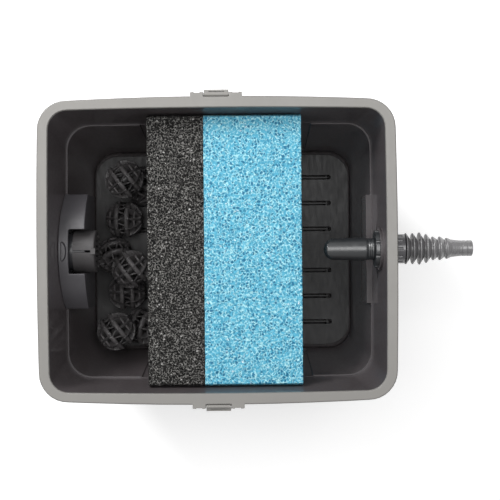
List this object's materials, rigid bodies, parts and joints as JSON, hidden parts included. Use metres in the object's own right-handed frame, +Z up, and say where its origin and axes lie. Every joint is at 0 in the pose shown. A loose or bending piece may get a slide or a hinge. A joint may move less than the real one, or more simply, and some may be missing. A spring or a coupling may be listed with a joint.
{
  "type": "pond box filter",
  "caption": "Open-topped flow-through pond filter: tapered moulded tank with rim frame, foam blocks, bio balls, base grid, stepped hose inlet with elbow and cowled outlet strainer.",
  "frame": {"origin": "centre of the tank's underside, on the surface it stands on", "axes": "+X along the tank's length towards the hose tail, +Y across its width, +Z up"},
  "size_m": [0.51, 0.3718, 0.26],
  "materials": {
    "tank_black": "moulded satin",
    "rim_grey": "satin",
    "pin_steel": "drawn",
    "fitting_black": "semi-gloss",
    "seal_rubber": "matte",
    "hose_tail_grey": "satin",
    "drum_grey": "satin",
    "grid_black": "satin",
    "foam_black": "reticulated foam",
    "foam_blue": "reticulated foam",
    "ball_black": "satin"
  },
  "bodies": {
    "filter_box": {"tank": "tank_black", "rim_frame": "rim_grey", "clip_pins": "pin_steel", "inlet_bulkhead": "fitting_black", "inlet_seal": "seal_rubber", "inlet_lock_nut": "fitting_black", "inlet_elbow": "fitting_black", "hose_tail_seal": "seal_rubber", "hose_tail": "hose_tail_grey", "outlet_spigot": "fitting_black", "outlet_seal": "seal_rubber", "outlet_nut": "fitting_black", "outlet_cowl": "fitting_black", "base_grid": "grid_black", "grid_legs": "grid_black", "bio_ball_1": "ball_black", "bio_ball_2": "ball_black", "bio_ball_3": "ball_black", "bio_ball_4": "ball_black", "bio_ball_5": "ball_black", "bio_ball_6": "ball_black", "bio_ball_7": "ball_black", "bio_ball_8": "ball_black"},
    "front_clip": {"front_clip": "rim_grey"},
    "back_clip": {"back_clip": "rim_grey"},
    "union_nut": {"union_nut": "hose_tail_grey"},
    "strainer_drum": {"strainer_drum": "drum_grey"},
    "black_foam": {"black_foam": "foam_black"},
    "blue_foam": {"blue_foam": "foam_blue"}
  },
  "joints": [
    {"name": "front_clip_hinge", "type": "hinge", "parent": "filter_box", "child": "front_clip", "pos_m": [0, -0.1773, 0.2565], "axis": [-1, 0, 0], "range_deg": [0, 140]},
    {"name": "back_clip_hinge", "type": "hinge", "parent": "filter_box", "child": "back_clip", "pos_m": [0, 0.1773, 0.2565], "axis": [1, 0, 0], "range_deg": [0, 140]},
    {"name": "union_nut_turn", "type": "hinge", "parent": "filter_box", "child": "union_nut", "pos_m": [0.21, 0, 0.222], "axis": [1, 0, 0], "range_deg": [0, 720]},
    {"name": "strainer_pull", "type": "slide", "parent": "filter_box", "child": "strainer_drum", "axis": [1, 0, 0], "range_m": [0, 0.028]},
    {"name": "black_foam_lift", "type": "slide", "parent": "filter_box", "child": "black_foam", "axis": [0, 0, 1], "range_m": [0, 0.28]},
    {"name": "blue_foam_lift", "type": "slide", "parent": "filter_box", "child": "blue_foam", "axis": [0, 0, 1], "range_m": [0, 0.28]}
  ]
}
